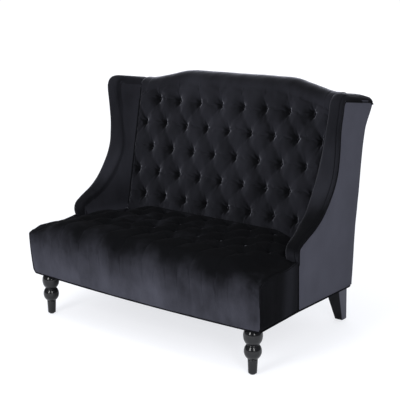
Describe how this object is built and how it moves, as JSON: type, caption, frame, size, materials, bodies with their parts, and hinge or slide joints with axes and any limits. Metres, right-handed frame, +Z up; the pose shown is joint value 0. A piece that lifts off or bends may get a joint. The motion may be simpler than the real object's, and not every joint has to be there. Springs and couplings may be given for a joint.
{
  "type": "wing loveseat",
  "caption": "Upholstered wing loveseat with a deep-buttoned seat and back, plain outside panels and turned front legs, for two people.",
  "frame": {"origin": "on the floor under the middle of the loveseat's overall box", "axes": "+X to the right of someone facing the seat, +Y to the back, +Z up"},
  "size_m": [1.248, 0.812, 1.043],
  "materials": {
    "velvet": "black short-pile velvet with a soft blue-grey sheen where the pile turns",
    "black_lacquer": "black gloss lacquer on turned and sawn hardwood",
    "frame_hardwood": "planed, unfinished hardwood, hidden",
    "frame_plywood": "unfinished plywood, hidden",
    "zinc_plated_steel": "bright zinc plate, hidden",
    "spring_steel": "dark oiled spring wire, hidden",
    "cushion_foam": "firm upholstery foam, hidden",
    "jute_webbing": "woven jute webbing and insulator cloth, hidden",
    "black_lining": "thin black lining under the frame",
    "piping_cord": "black piping cord covered in the same cloth",
    "glide_nylon": "dark nylon"
  },
  "bodies": {
    "root": {"back_centre_stay": "frame_hardwood", "back_cushion": "velvet", "back_lower_rail": "frame_hardwood", "back_post_left": "frame_hardwood", "back_post_right": "frame_hardwood", "back_top_rail": "frame_hardwood", "back_web_1": "jute_webbing", "back_web_2": "jute_webbing", "back_web_3": "jute_webbing", "back_web_4": "jute_webbing", "bottom_piping": "piping_cord", "centre_seat_rail": "frame_hardwood", "corner_block_front_left": "frame_hardwood", "corner_block_front_right": "frame_hardwood", "corner_block_rear_left": "frame_hardwood", "corner_block_rear_right": "frame_hardwood", "dust_cover": "black_lining", "floor_glide_front_left": "glide_nylon", "floor_glide_front_right": "glide_nylon", "floor_glide_rear_left": "glide_nylon", "floor_glide_rear_right": "glide_nylon", "front_leg_left": "black_lacquer", "front_leg_right": "black_lacquer", "front_seat_rail": "frame_hardwood", "leg_bolt_front_left": "zinc_plated_steel", "leg_bolt_front_right": "zinc_plated_steel", "leg_bolt_rear_left": "zinc_plated_steel", "leg_bolt_rear_right": "zinc_plated_steel", "leg_plate_front_left": "zinc_plated_steel", "leg_plate_front_right": "zinc_plated_steel", "leg_plate_rear_left": "zinc_plated_steel", "leg_plate_rear_right": "zinc_plated_steel", "outside_back_panel": "velvet", "outside_panel_left": "velvet", "outside_panel_right": "velvet", "rear_leg_left": "black_lacquer", "rear_leg_right": "black_lacquer", "rear_seat_rail": "frame_hardwood", "seat_cushion": "velvet", "seat_deck": "jute_webbing", "seat_foam": "cushion_foam", "seat_spring_1": "spring_steel", "seat_spring_2": "spring_steel", "seat_spring_3": "spring_steel", "seat_spring_4": "spring_steel", "seat_spring_5": "spring_steel", "side_seat_rail_left": "frame_hardwood", "side_seat_rail_right": "frame_hardwood", "wing_band_left": "velvet", "wing_band_right": "velvet", "wing_board_left": "frame_plywood", "wing_board_right": "frame_plywood", "wing_pad_left": "velvet", "wing_pad_right": "velvet"}
  },
  "joints": []
}
